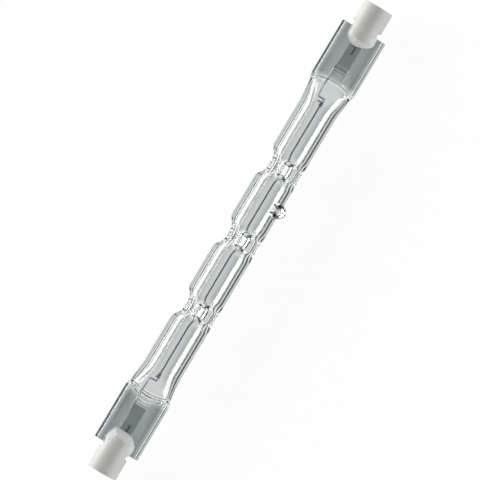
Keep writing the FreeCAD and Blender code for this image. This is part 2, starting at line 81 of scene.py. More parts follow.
# The press seals, with the raised places over the welds and the ridges that the jaws left
SEAL_START = 38.3
SEAL_STOP = 52.65
SEAL_HALF_WIDTH = 5.4
SEAL_RAIL_HEIGHT = 1.95
SEAL_WEB_HEIGHT = 1.5
RAIL_WIDTH = 1.25
SEAL_ROUNDING = 0.2
PAD_HALF = 1.7
PAD_CORNER = 0.45
PAD_ROUNDING = 0.2
PAD_STOPS = {"a": 41.4, "b": 42.6}
PAD_MARKS = {"a": (40.8, PAD_HALF), "b": (43.7, SEAL_WEB_HEIGHT)}  # middle, and height under the ridge
PAD_MARK_HALF = 1.6
PAD_MARK_BOW = 0.35
PAD_MARK_RADIUS = 0.26
JAW_MARKS = {"a": [(39.35, 1.4), (38.75, 0.9)], "b": [(40.3, 1.3), (39.75, 0.9)]}  # middle and bow
JAW_MARK_HALF = 4.7
JAW_MARK_RADIUS = 0.33
MARK_SUNK = 0.17

# The caps and contacts
CAP_START = 50.5
CAP_STOP = 58.8
CAP_RADIUS = 3.5
CAP_DRAFT = 0.08
CAP_ROUNDING = 0.28
SLOT_FLOOR = 54.0
SLOT_HALF = 1.88
RECESS_RADIUS = 1.8
RECESS_FLOOR = 57.1
LEAD_WAY_RADIUS = 0.5
CONTACT_RADIUS = 1.5
CONTACT_BACK = 56.2
CONTACT_FRONT = 56.95
CONTACT_FIT = 0.03
CONTACT_ROUNDING = 0.05
CONTACT_DOME = ((0.2, 0.05), (0.35, 0.045), (0.45, 0.025))  # each step's inset and rise

# The cement: its outline on each seal, and how it rises from that edge, by each step's height and its
# width against the step before
CEMENT_OUTLINES = {
    "b": [
        (52.9, -3.3), (51.2, -3.6), (50.3, -3.1), (49.5, -2.1), (48.95, -0.5), (48.95, 0.9), (49.5, 2.2),
        (50.3, 3.0), (51.2, 3.3), (52.9, 3.2),
    ],
    "a": [
        (52.9, -3.3), (51.4, -3.7), (50.1, -3.3), (48.9, -2.8), (48.3, -2.3), (48.4, -1.5), (48.45, 0.0),
        (48.65, 1.3), (49.4, 2.7), (50.6, 3.5), (51.6, 3.9), (52.9, 3.3),
    ],
}
DAB_STEPS = [
    (0.12, 0.995), (0.16, 0.95), (0.26, 0.91), (0.32, 0.87), (0.32, 0.83), (0.28, 0.76), (0.12, 0.6),
]
DAB_MIDDLE = (51.5, -0.2, 0)
DAB_SUNK = 0.09
DAB_VOXEL = 0.11
DAB_WANDER = 0.16
DAB_EDGE_WAVES = 1.3
DAB_LUMPS = 0.1
DAB_LUMP_WAVES = 0.9
FILL_HALF_WIDTH = 2.9
FILL_ROUNDING = 0.3

# The leads
OUTER_LEAD_START = 46.9
OUTER_LEAD_RADIUS = 0.33
OUTER_LEAD_ROUNDING = 0.08
OUTER_LEAD_Z = 0.13
INNER_LEAD_START = 43.8
INNER_LEAD_RADIUS = 0.2
LEAD_SIDE = 1.6
LEAD_CROSS = 35.6
HOOK_RISE = {"a": 0.4, "b": 0.7}

# The filament: the wound lengths, the bare legs between them, and the overwound ends. Its wire and pitch
# are coarser than the real primary coil's, which are too fine to show.
COIL_RADIUS = 0.18
COIL_WIRE = 0.06
COIL_PITCH = 0.19
HALF_LEG = 2.8
FILAMENT_STOP = LEAD_CROSS - 0.7
SLEEVE_LENGTH = 1.1
SLEEVE_RADIUS = 0.33
SLEEVE_WIRE = 0.09
CORE_RADIUS = 0.2


# Working by hand: selecting, shaping, finishing

def let_go():
    """Nothing selected, as before each new primitive."""
    bpy.ops.object.select_all(action="DESELECT")


def take(piece):
    """Only this piece selected, and active."""
    let_go()
    piece.select_set(True)
    bpy.context.view_layer.objects.active = piece


def settle(name):
    """Names the primitive just added and puts its place and turn into its mesh."""
    piece = bpy.context.object
    piece.name = name
    bpy.ops.object.transform_apply(location=True, rotation=True, scale=True)
    return piece


def pick(piece, kind, test):
    """Selects, in edit mode, the vertices, edges or faces whose middle and normal pass a test."""
    bpy.ops.mesh.select_all(action="DESELECT")
    bpy.ops.mesh.select_mode(type={"verts": "VERT", "edges": "EDGE", "faces": "FACE"}[kind])
    shell = bmesh.from_edit_mesh(piece.data)
    for part in getattr(shell, kind):
        if kind == "verts":
            part.select_set(test(part.co, part.normal))
        elif kind == "edges":
            ends = [v.co for v in part.verts]
            part.select_set(test((ends[0] + ends[1]) / 2, (ends[1] - ends[0]).normalized()))
        else:
            part.select_set(test(part.calc_center_median(), part.normal))
    shell.select_flush_mode()
    bmesh.update_edit_mesh(piece.data)


def cut_across(piece, places, across=(1, 0, 0)):
    """Cuts a ring round the piece at each place along a direction."""
    take(piece)
    bpy.ops.object.mode_set(mode="EDIT")
    for place in places:
        bpy.ops.mesh.select_all(action="SELECT")
        bpy.ops.mesh.bisect(plane_co=Vector(across) * place, plane_no=across)
    bpy.ops.object.mode_set(mode="OBJECT")


def press(piece, shaped):
    """Moves every point of the piece to where a function puts it. It is for forms that no edit-mode
    operator gives: the dimples' sections, the oval shoulders, and uneven glass and cement."""
    for point in piece.data.vertices:
        point.co = shaped(point.co.copy())
    piece.data.update()


def use(piece, kind, **settings):
    """Adds a modifier with its settings and applies it."""
    take(piece)
    change = piece.modifiers.new(kind.title(), kind)
    for key, value in settings.items():
        setattr(change, key, value)
    bpy.ops.object.modifier_apply(modifier=change.name)
    return piece


def join_or_cut(piece, tool, operation):
    """Joins a tool to the piece or cuts it away, and removes the tool."""
    use(piece, "BOOLEAN", object=tool, operation=operation, solver="EXACT")
    bpy.data.objects.remove(tool)
    return piece


def face_outwards(piece):
    """Merges doubled points and turns every face outwards."""
    take(piece)
    bpy.ops.object.mode_set(mode="EDIT")
    bpy.ops.mesh.select_all(action="SELECT")
    bpy.ops.mesh.remove_doubles(threshold=0.0005)
    bpy.ops.mesh.normals_make_consistent(inside=False)
    bpy.ops.object.mode_set(mode="OBJECT")
    return piece


def turned_end(piece, end):
    """The piece as drawn for the +X end, or turned half round about Z for the other end."""
    if ENDS[end] < 0:
        piece.data.transform(Matrix.Rotation(math.pi, 4, "Z"))
    return piece


def lay_down(piece, finish, slot, *nodes, smooth=35):
    """Puts a finished piece in the part's frame, with its finish, and hides the nodes that it stands for.
    """
    take(piece)
    bpy.ops.object.shade_smooth_by_angle(angle=math.radians(smooth))
    piece.data.transform(REST)
    piece.data.update()
    piece.data.materials.clear()
    piece.data.materials.append(finish)
    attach(piece, "root")
    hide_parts(*nodes)
    return piece


def rod(name, start, stop, radius, sides=48):
    """A round bar along the lamp's axis."""
    let_go()
    bpy.ops.mesh.primitive_cylinder_add(
        vertices=sides,
        radius=radius,
        depth=stop - start,
        location=((start + stop) / 2, 0, 0),
        rotation=(0, math.pi / 2, 0),
    )
    return settle(name)


def block(name, low, high):
    """A box between two corners."""
    let_go()
    middle = [(a + b) / 2 for a, b in zip(low, high)]
    bpy.ops.mesh.primitive_cube_add(size=1, location=middle)
    bpy.context.object.scale = [b - a for a, b in zip(low, high)]
    return settle(name)


def wire_along(name, points, radius, rounds=4, steps=8):
    """A wire on one smooth path, drawn as a path with a round section and made a mesh."""
    let_go()
    bpy.ops.curve.primitive_nurbs_path_add()
    wire = bpy.context.object
    wire.name = name
    path = wire.data
    path.splines.clear()
    run = path.splines.new("NURBS")
    run.points.add(len(points) - 1)
    for point, place in zip(run.points, points):
        point.co = (*place, 1)
    run.order_u = 3
    run.use_endpoint_u = True
    path.resolution_u = steps
    path.bevel_depth = radius
    path.bevel_resolution = rounds
    path.use_fill_caps = True
    take(wire)
    bpy.ops.object.convert(target="MESH")
    return settle(name)


def coil_between(name, start, stop, centre_radius, wire_radius, pitch, steps=12, sides=6):
    """A wound length of wire: one round section carried round and along the lamp's axis."""
    let_go()
    bpy.ops.mesh.primitive_circle_add(
        vertices=sides, radius=wire_radius, location=(start, centre_radius, 0)
    )
    coil = settle(name)
    turns = max(1, round((stop - start) / pitch))
    use(
        coil,
        "SCREW",
        axis="X",
        angle=2 * math.pi,
        screw_offset=(stop - start) / turns,
        iterations=turns,
        steps=steps,
        render_steps=steps,
        use_merge_vertices=False,
    )
    return coil


def gather(name, pieces):
    """Several meshes joined as one piece."""
    take(pieces[0])
    for piece in pieces:
        piece.select_set(True)
    bpy.ops.object.join()
    pieces[0].name = name
    return pieces[0]


# Colours and finishes

def colour(code):
    """An sRGB hex colour as the linear values that the shaders take."""
    values = [int(code[i:i + 2], 16) / 255 for i in (1, 3, 5)]
    return [v / 12.92 if v <= 0.04045 else ((v + 0.055) / 1.055) ** 2.4 for v in values] + [1.0]


def add_node(tree, kind, settings=None, links=None):
    """Adds one node with its settings, by property or socket, and its incoming links."""
    node = tree.nodes.new(kind)
    for key, value in (settings or {}).items():
        if isinstance(key, str) and hasattr(node, key):
            setattr(node, key, value)
        else:
            node.inputs[key].default_value = value
    for key, source in (links or {}).items():
        tree.links.new(source, node.inputs[key])
    return node


def new_finish(name):
    """An empty material and its node tree."""
    finish = bpy.data.materials.new(name)
    finish.use_nodes = True
    finish.node_tree.nodes.clear()
    return finish, finish.node_tree


def close_finish(tree, shader):
    """The shader at the material's output."""
    add_node(tree, "ShaderNodeOutputMaterial", links={"Surface": shader.outputs[0]})


# Where the jaws' print and the painted grey shade on the seals begin, in metres from the middle of the
# lamp
JAW_PRINT_FROM = 0.0396
JAW_PRINT_FULL = 0.0408
QUARTZ_INDEX = 1.458


def fused_quartz():
    """Fused quartz, drawn to tube and worked in a flame: colourless and glossy, with faint draw lines
    along the tube. The flat faces that the jaws of the press closed on are uneven and carry a painted
    grey shade; the ridges and rails that flowed out between them stayed clear, without it."""
    finish, tree = new_finish("fused_quartz_drawn_and_pressed")
    place = add_node(tree, "ShaderNodeTexCoord").outputs["Object"]
    split = add_node(tree, "ShaderNodeSeparateXYZ", links={0: place})
    along = add_node(tree, "ShaderNodeMath", {"operation": "ABSOLUTE"}, {0: split.outputs["X"]})
    in_seal = add_node(
        tree,
        "ShaderNodeMapRange",
        {"From Min": JAW_PRINT_FROM, "From Max": JAW_PRINT_FULL},
        {"Value": along.outputs[0]},
    )
    flat = add_node(tree, "ShaderNodeAttribute", {"attribute_name": "jaw_face"})
    pressed = add_node(
        tree, "ShaderNodeMath", {"operation": "MULTIPLY"}, {0: in_seal.outputs[0], 1: flat.outputs["Fac"]}
    )
    # Draw lines: waves 2 mm wide and 40 mm long
    drawn = add_node(tree, "ShaderNodeMapping", {"Scale": (25, 500, 500)}, {"Vector": place})
    waves = add_node(
        tree, "ShaderNodeTexNoise", {"Scale": 1.0, "Detail": 2.0}, {"Vector": drawn.outputs[0]}
    )
    lines = add_node(tree, "ShaderNodeMath", {"operation": "MULTIPLY", 1: 0.15}, {0: waves.outputs[0]})
    # The jaws' print on the flat faces: unevenness 1.4 mm across
    skin = add_node(tree, "ShaderNodeTexNoise", {"Scale": 700.0, "Detail": 3.0}, {"Vector": place})
    relief = add_node(
        tree,
        "ShaderNodeMix",
        {"data_type": "FLOAT"},
        {0: pressed.outputs[0], 2: lines.outputs[0], 3: skin.outputs[0]},
    )
    # The exhaust tip, pulled off in the flame: wrinkles 0.7 mm across, and a duller skin
    pulled = add_node(tree, "ShaderNodeAttribute", {"attribute_name": "pulled_off"}).outputs["Fac"]
    folds = add_node(tree, "ShaderNodeTexNoise", {"Scale": 1500.0, "Detail": 2.0}, {"Vector": place})
    wrinkles = add_node(
        tree, "ShaderNodeMath", {"operation": "MULTIPLY"}, {0: folds.outputs[0], 1: pulled}
    )
    height = add_node(
        tree,
        "ShaderNodeMath",
        {"operation": "MULTIPLY_ADD", 1: 6.0},
        {0: wrinkles.outputs[0], 2: relief.outputs[0]},
    )
    bump = add_node(
        tree, "ShaderNodeBump", {"Strength": 0.12, "Distance": 0.0001}, {"Height": height.outputs[0]}
    )
    skin_dull = add_node(
        tree, "ShaderNodeMath", {"operation": "MULTIPLY", 1: 0.06}, {0: pressed.outputs[0]}
    )
    dull = add_node(
        tree,
        "ShaderNodeMath",
        {"operation": "MULTIPLY_ADD", 1: 0.25},
        {0: pulled, 2: skin_dull.outputs[0]},
    )
    # Painted shade: the jaws' flat faces are tinted grey, #C2C7C7, in place of the shade seen through the
    # seal; the quartz itself is colourless.
    tone = add_node(
        tree,
        "ShaderNodeMix",
        {"data_type": "RGBA", 6: colour("#FFFFFF"), 7: colour("#C2C7C7")},
        {0: pressed.outputs[0]},
    )
    shader = add_node(
        tree,
        "ShaderNodeBsdfPrincipled",
        {"IOR": QUARTZ_INDEX, "Transmission Weight": 1.0},
        {"Base Color": tone.outputs[2], "Roughness": dull.outputs[0], "Normal": bump.outputs[0]},
    )
    close_finish(tree, shader)
    return finish


def fired_ceramic():
    """Steatite ceramic, pressed and fired without glaze: near white, satin, with clouds 3 mm across and a
    grain of pores. The real pores are too fine to show, so the grain is drawn 0.25 mm across."""
    finish, tree = new_finish("steatite_ceramic_fired")
    place = add_node(tree, "ShaderNodeTexCoord").outputs["Object"]
    cloud = add_node(tree, "ShaderNodeTexNoise", {"Scale": 350.0, "Detail": 3.0}, {"Vector": place})
    grain = add_node(tree, "ShaderNodeTexNoise", {"Scale": 4000.0, "Detail": 2.0}, {"Vector": place})
    tone = add_node(
        tree,
        "ShaderNodeMix",
        {"data_type": "RGBA", 6: colour("#DADAD3"), 7: colour("#E5E5E0")},
        {0: cloud.outputs[0]},
    )
    bump = add_node(
        tree, "ShaderNodeBump", {"Strength": 0.25, "Distance": 0.00003}, {"Height": grain.outputs[0]}
    )
    shader = add_node(
        tree,
        "ShaderNodeBsdfPrincipled",
        {"Roughness": 0.55, "IOR": 1.6},
        {"Base Color": tone.outputs[2], "Normal": bump.outputs[0]},
    )
    close_finish(tree, shader)
    return finish


def ceramic_cement():
    """Silica cement, spread wet and dried: chalky white and matt, with lumps 0.8 mm across."""
    finish, tree = new_finish("silica_cement_dried")
    place = add_node(tree, "ShaderNodeTexCoord").outputs["Object"]
    lumps = add_node(tree, "ShaderNodeTexNoise", {"Scale": 1300.0, "Detail": 5.0}, {"Vector": place})
    tone = add_node(
        tree,
        "ShaderNodeMix",
        {"data_type": "RGBA", 6: colour("#F0F1F2"), 7: colour("#FAFBFC")},
        {0: lumps.outputs[0]},
    )
    bump = add_node(
        tree, "ShaderNodeBump", {"Strength": 0.45, "Distance": 0.00012}, {"Height": lumps.outputs[0]}
    )
    shader = add_node(
        tree,
        "ShaderNodeBsdfPrincipled",
        {"Roughness": 0.85},
        {"Base Color": tone.outputs[2], "Normal": bump.outputs[0]},
    )
    close_finish(tree, shader)
    return finish


def drawn_metal(name, dark, light, roughness, scale):
    """A drawn or rolled metal: streaks along its length, and light and dark patches from its heating. The
    scale is how many of them lie in a metre along each axis."""
    finish, tree = new_finish(name)
    place = add_node(tree, "ShaderNodeTexCoord").outputs["Object"]
    pulled = add_node(tree, "ShaderNodeMapping", {"Scale": scale}, {"Vector": place})
    streaks = add_node(
        tree, "ShaderNodeTexNoise", {"Scale": 1.0, "Detail": 4.0}, {"Vector": pulled.outputs[0]}
    )
    tone = add_node(
        tree,
        "ShaderNodeMix",
        {"data_type": "RGBA", 6: colour(dark), 7: colour(light)},
        {0: streaks.outputs[0]},
    )
    rough = add_node(
        tree,
        "ShaderNodeMapRange",
        {"To Min": roughness - 0.08, "To Max": roughness + 0.08},
        {"Value": streaks.outputs[0]},
    )
    bump = add_node(
        tree, "ShaderNodeBump", {"Strength": 0.2, "Distance": 0.00002}, {"Height": streaks.outputs[0]}
    )
    shader = add_node(
        tree,
        "ShaderNodeBsdfPrincipled",
        {"Metallic": 1.0},
        {"Base Color": tone.outputs[2], "Roughness": rough.outputs[0], "Normal": bump.outputs[0]},
    )
    close_finish(tree, shader)
    return finish


QUARTZ = fused_quartz()
CERAMIC = fired_ceramic()
CEMENT = ceramic_cement()
# Wound and heated: matt and nearly black, in patches 1.1 mm across
TUNGSTEN = drawn_metal("tungsten_drawn_and_wound", "#505255", "#6E7073", 0.45, (900, 900, 900))
# Drawn and cleaned, with streaks 0.4 mm wide, coarser than the real ones so that they show
MOLYBDENUM = drawn_metal("molybdenum_drawn_wire", "#868B8D", "#A4A8A9", 0.35, (60, 2500, 2500))
# The same wire, tarnished by the heat of the pressing
TARNISHED = drawn_metal("molybdenum_wire_tarnished", "#5C6062", "#7B7F80", 0.45, (60, 2500, 2500))
# Rolled thin: satin, with roll lines 0.6 mm apart, coarser than the real ones so that they show
FOIL = drawn_metal("molybdenum_rolled_foil", "#B0B8B7", "#C8CECD", 0.45, (120, 1800, 1800))
# Turned brass under nickel plate: warm grey and satin, in patches 1.1 mm across
NICKEL = drawn_metal("nickel_plated_brass_turned", "#A9A7A0", "#C6C4BC", 0.3, (900, 900, 900))


# The quartz envelope

def dented_section():
    """The trefoil section in the middle of a dimple, as the turns and radii of its arcs."""
    lobe = LOBE_RADIUS
    lobe_centre = TUBE_RADIUS - lobe
    square = lobe_centre**2 + DENT_REACH**2 - lobe_centre * DENT_REACH - lobe**2
    hollow = square / (2 * lobe + lobe_centre - 2 * DENT_REACH)
    hollow_centre = DENT_REACH + hollow
    joined = lobe + hollow
    lobe_turn = math.pi - math.acos(
        (lobe_centre**2 + joined**2 - hollow_centre**2) / (2 * lobe_centre * joined)
    )
    return lobe, lobe_centre, lobe_turn, hollow, hollow_centre, lobe_turn - math.radians(60)


def section_point(part, inset):
    """A point of the trefoil, set in by the wall: part 0 is a lobe's tip and 1 the floor of a dent."""
    lobe, lobe_centre, lobe_turn, hollow, hollow_centre, hollow_turn = dented_section()
    lobe_part = lobe * lobe_turn / (lobe * lobe_turn + hollow * hollow_turn)
    if part <= lobe_part:
        angle = lobe_turn * part / lobe_part
        reach = lobe - inset
        return lobe_centre + reach * math.cos(angle), reach * math.sin(angle)
    left = (1 - part) / (1 - lobe_part)
    angle = math.radians(240) - hollow_turn * left
    reach = hollow + inset
    return (
        hollow_centre * math.cos(math.radians(60)) + reach * math.cos(angle),
        hollow_centre * math.sin(math.radians(60)) + reach * math.sin(angle),
    )


def squeeze_at(x):
    """How far the tube is pressed in at a place along it, from 0 to 1."""
    nearest = min(abs(x - centre) for centre in DENT_PLACES)
    run = (DENT_LENGTH / 2 - nearest) / (DENT_LENGTH / 2 - DENT_FLAT / 2)
    run = max(0.0, min(1.0, run))
    return run * run * (3 - 2 * run)


def pressed_point(point, half_y, half_z, inset):
    """A point of the tube's round or oval section, moved to where the dimples bring it."""
    squeeze = squeeze_at(point.x)
    angle = math.degrees(math.atan2(point.z, point.y)) % 360
    round_y = half_y * math.cos(math.radians(angle))
    round_z = half_z * math.sin(math.radians(angle))
    if squeeze == 0.0:
        return Vector((point.x, round_y, round_z))
    lobe = 60 + 120 * math.floor(angle / 120)
    side = 1 if angle >= lobe else -1
    u, v = section_point(min(abs(angle - lobe) / 60, 1.0), inset)
    turn = math.radians(lobe)
    y = u * math.cos(turn) - side * v * math.sin(turn)
    z = u * math.sin(turn) + side * v * math.cos(turn)
    return Vector((point.x, y * squeeze + round_y * (1 - squeeze), z * squeeze + round_z * (1 - squeeze)))


def stations(stop, shoulder_steps):
    """Places along the tube for its rings: close together in the dimples and towards its ends."""
    places = set()
    for centre in DENT_PLACES:
        for step in range(-20, 21):
            places.add(round(centre + step * DENT_LENGTH / 40, 4))
    half = DENT_LENGTH / 2
    for low, high in ((half, DENT_SPACING - half), (DENT_SPACING + half, SHOULDER_START)):
        steps = round((high - low) / 1.5)
        for step in range(1, steps + 1):
            x = low + (high - low) * step / steps
            places.update((round(x, 4), round(-x, 4)))
    for step in range(1, shoulder_steps):
        x = SHOULDER_START + (stop - SHOULDER_START) * math.sin(math.radians(90 * step / shoulder_steps))
        places.update((round(x, 4), round(-x, 4)))
    return sorted(places)


def shoulder_at(x):
    """Half the tube's width and half its height: round, then wider and lower towards the flat seal."""
    part = max(0.0, min(0.999, (x - SHOULDER_START) / (SHOULDER_END - SHOULDER_START)))
    half_y = TUBE_RADIUS + SHOULDER_SPREAD * part * part * (3 - 2 * part)
    return half_y, TUBE_RADIUS * (1 - part**2.4) ** 0.55


def tube_outside():
    """The skin of the tube, pressed to its dimples' sections and its oval shoulders."""
    stop = SHOULDER_END - 0.05
    tube = rod("quartz_glass", -stop, stop, TUBE_RADIUS, TUBE_SIDES)
    cut_across(tube, stations(stop, 26))
    press(tube, lambda point: pressed_point(point, *shoulder_at(abs(point.x)), 0.0))
    return tube


def tube_hollow():
    """The hollow of the tube, which ends in a rounded chamber between the seals' inner ends."""
    stop = CHAMBER_END - 0.004
    radius = TUBE_RADIUS - TUBE_WALL
    hollow = rod("hollow", -stop, stop, radius, TUBE_SIDES)
    cut_across(hollow, stations(stop, 34))

    def drawn_in(point):
        part = max(0.0, abs(point.x) - SHOULDER_START) / (CHAMBER_END - SHOULDER_START)
        spread = radius + CHAMBER_SPREAD * part * part * (3 - 2 * part)
        half_y = spread * math.sqrt(1 - part**12)
        return pressed_point(point, half_y, radius * (1 - part**2.2) ** 0.62, TUBE_WALL)

    press(hollow, drawn_in)
    return hollow


def press_seal(end):
    """The flattened end of the tube: a flat web between two rails that bulge outwards, as the quartz
    flowed from between the jaws, and that shrink into the tube's shoulder."""
    seal = block(
        f"seal_{end}",
        (SEAL_START - 0.5, -SEAL_HALF_WIDTH, -SEAL_WEB_HEIGHT),
        (SEAL_STOP, SEAL_HALF_WIDTH, SEAL_WEB_HEIGHT),
    )
    rail = SEAL_HALF_WIDTH - RAIL_WIDTH
    across = [rail + RAIL_WIDTH * math.sin(math.radians(angle)) for angle in range(0, 90, 9)]
    cut_across(seal, [-y for y in reversed(across)] + across, (0, 1, 0))
    cut_across(seal, [SEAL_START + 0.25 * step for step in range(-1, 8)])
    bpy.ops.object.mode_set(mode="EDIT")
    for up in (-1, 1):
        pick(seal, "faces", lambda co, no: no.z * up > 0.9 and abs(co.y) > rail)
        bpy.ops.mesh.extrude_region_move(
            TRANSFORM_OT_translate={"value": (0, 0, up * (SEAL_RAIL_HEIGHT - SEAL_WEB_HEIGHT))}
        )
    bpy.ops.object.mode_set(mode="OBJECT")

    def bulged(point):
        # Round rails, and a seal that grows narrower and lower towards the tube, with an uneven edge
        out = max(0.0, abs(point.y) - rail) / RAIL_WIDTH
        near = max(0.0, SEAL_START + 1.5 - point.x) / 2
        wander = 1 + 0.006 * noise.noise(Vector((point.x * 0.5, 3.0 * ENDS[end], 0)))
        return Vector((
            point.x,
            point.y * (1 - 0.11 * near * near) * wander,
            point.z * max(0.05, math.sqrt(max(0.0, 1 - out * out))) * (1 - 0.2 * near * near),
        ))

    press(seal, bulged)
    corners = math.radians(40)
    use(seal, "BEVEL", width=SEAL_ROUNDING, segments=3, limit_method="ANGLE", angle_limit=corners)
    return turned_end(seal, end)


def seal_pad(end):
    """The low raised place that the press left over the weld of the inner lead."""
    pad = block(
        f"pad_{end}", (SEAL_START - 0.5, -PAD_HALF, -PAD_HALF), (PAD_STOPS[end], PAD_HALF, PAD_HALF)
    )
    bpy.ops.object.mode_set(mode="EDIT")
    pick(pad, "edges", lambda co, along: abs(along.z) > 0.9 and co.x > 40)
    bpy.ops.mesh.bevel(offset=PAD_CORNER, segments=5)
    pick(pad, "edges", lambda co, along: abs(along.z) < 0.1 and abs(co.z) > PAD_HALF - 0.1)
    bpy.ops.mesh.bevel(offset=PAD_ROUNDING, segments=3)
    bpy.ops.object.mode_set(mode="OBJECT")
    return turned_end(pad, end)


def shoulder_height(x, y):
    """Half the height of the glass at a place on the way from the round tube to the flat seal."""
    half_y, half_z = shoulder_at(x)
    return max(SEAL_WEB_HEIGHT, half_z * math.sqrt(max(0.0, 1 - (y / half_y) ** 2)))


def jaw_mark(end, up, middle, bow):
    """The bowed ridge on the glass where the edge of a press jaw stopped."""
    points = []
    for step in range(-6, 7):
        y = JAW_MARK_HALF * step / 6
        x = middle - bow * (y / JAW_MARK_HALF) ** 2
        points.append((x, y, up * (shoulder_height(x, y) - MARK_SUNK)))
    return turned_end(wire_along(f"jaw_mark_{end}", points, JAW_MARK_RADIUS, rounds=4, steps=4), end)


def pad_mark(end, up):
    """The short bowed ridge beside the raised place."""
    middle, height = PAD_MARKS[end]
    points = [
        (middle - PAD_MARK_BOW * (y / PAD_MARK_HALF) ** 2, y, up * (height - MARK_SUNK))
        for y in (-PAD_MARK_HALF, -1.2, -0.6, 0, 0.6, 1.2, PAD_MARK_HALF)
    ]
    return turned_end(wire_along(f"pad_mark_{end}", points, PAD_MARK_RADIUS, rounds=4, steps=4), end)


def tip_frame(height):
    """From upright to the line of the exhaust tip, at a height above the lamp's axis."""
    outward = Vector((0, -math.cos(TIP_ANGLE), math.sin(TIP_ANGLE)))
    turn = outward.to_track_quat("Z", "X").to_matrix().to_4x4()
    return Matrix.Translation(Vector((TIP_PLACE, 0, 0)) + outward * height) @ turn


def tip_shape(name, profile, lean, uneven):
    """A turned point of glass: radii at heights, leaning to one side and uneven as it was pulled off."""
    let_go()
    low, high = profile[0][0], profile[-1][0]
    bpy.ops.mesh.primitive_cylinder_add(
        vertices=40, radius=1, depth=high - low, location=(0, 0, (low + high) / 2)
    )
    tip = settle(name)
    cut_across(tip, [height for height, _ in profile[1:-1]], (0, 0, 1))

    def drawn(point):
        nearest = min(profile, key=lambda row: abs(row[0] - point.z))
        flat = math.hypot(point.x, point.y)
        if flat < 1e-6:
            return point
        aside = lean * max(0.0, point.z / high) ** 2
        drawn_to = Vector((point.x / flat * nearest[1] + aside, point.y / flat * nearest[1], point.z))
        return drawn_to + noise.noise_vector(drawn_to * TIP_WAVES) * uneven * min(1.0, max(0.0, point.z))

    press(tip, drawn)
    tip.data.transform(tip_frame(TUBE_RADIUS))
    return tip


def mark_faces(piece, name, test):
    """Gives every face of the piece 1 where a test on its middle and normal holds, and 0 elsewhere."""
    marks = piece.data.attributes.new(name, "FLOAT", "FACE")
    faces = piece.data.polygons
    marks.data.foreach_set("value", [float(test(face.center, face.normal)) for face in faces])


def quartz_glass():
    """The envelope: tube, exhaust tip, seals and marks joined, then hollowed with the tip's bore."""
    glass = tube_outside()
    join_or_cut(glass, tip_shape("tip", TIP_PROFILE, TIP_LEAN, TIP_UNEVEN), "UNION")
    for end in ENDS:
        join_or_cut(glass, press_seal(end), "UNION")
        join_or_cut(glass, seal_pad(end), "UNION")
        for middle, bow in JAW_MARKS[end]:
            for up in (-1, 1):
                join_or_cut(glass, jaw_mark(end, up, middle, bow), "UNION")
        for up in (-1, 1):
            join_or_cut(glass, pad_mark(end, up), "UNION")
    join_or_cut(glass, tube_hollow(), "DIFFERENCE")
    join_or_cut(glass, tip_shape("tip_bore", TIP_BORE_PROFILE, 0.0, 0.0), "DIFFERENCE")

    to_tip = tip_frame(TUBE_RADIUS + 0.05).inverted()

    def on_tip(middle, normal):
        at = to_tip @ middle
        return at.z > 0 and math.hypot(at.x, at.y) < TIP_FOOT_RADIUS

    mark_faces(glass, "jaw_face", lambda middle, normal: abs(normal.z) > 0.98)
    mark_faces(glass, "pulled_off", on_tip)
    return lay_down(glass, QUARTZ, "quartz", "quartz_envelope", smooth=40)


quartz_glass()


# Caps, cement and contacts

def ceramic_cap(end):
    """A round body with a slot for the seal, a recess and a seat for the contact, and the lead's way."""
    cap = rod(f"cap_{end}", CAP_START, CAP_STOP, CAP_RADIUS, 128)
    cut_across(cap, [SLOT_FLOOR])
    bpy.ops.object.mode_set(mode="EDIT")
    pick(cap, "verts", lambda co, no: co.x < CAP_START + 0.01)
    taper = 1 - CAP_DRAFT / CAP_RADIUS
    bpy.ops.transform.resize(value=(1, taper, taper), center_override=(CAP_START, 0, 0))
    bpy.ops.object.mode_set(mode="OBJECT")
    slot = block(f"slot_{end}", (CAP_START - 1, -5, -SLOT_HALF), (SLOT_FLOOR, 5, SLOT_HALF))
    join_or_cut(cap, slot, "DIFFERENCE")
    join_or_cut(cap, rod("recess", RECESS_FLOOR, CAP_STOP + 1, RECESS_RADIUS, 64), "DIFFERENCE")
    join_or_cut(cap, rod("seat", CONTACT_BACK, RECESS_FLOOR + 1, CONTACT_RADIUS, 64), "DIFFERENCE")
    join_or_cut(cap, rod("lead_way", SLOT_FLOOR - 1, CONTACT_BACK + 1, LEAD_WAY_RADIUS, 24), "DIFFERENCE")
    corners = math.radians(40)
    use(cap, "BEVEL", width=CAP_ROUNDING, segments=4, limit_method="ANGLE", angle_limit=corners)
    turned_end(cap, end)
    return lay_down(cap, CERAMIC, "ceramic_body", f"ceramic_cap_{end}")


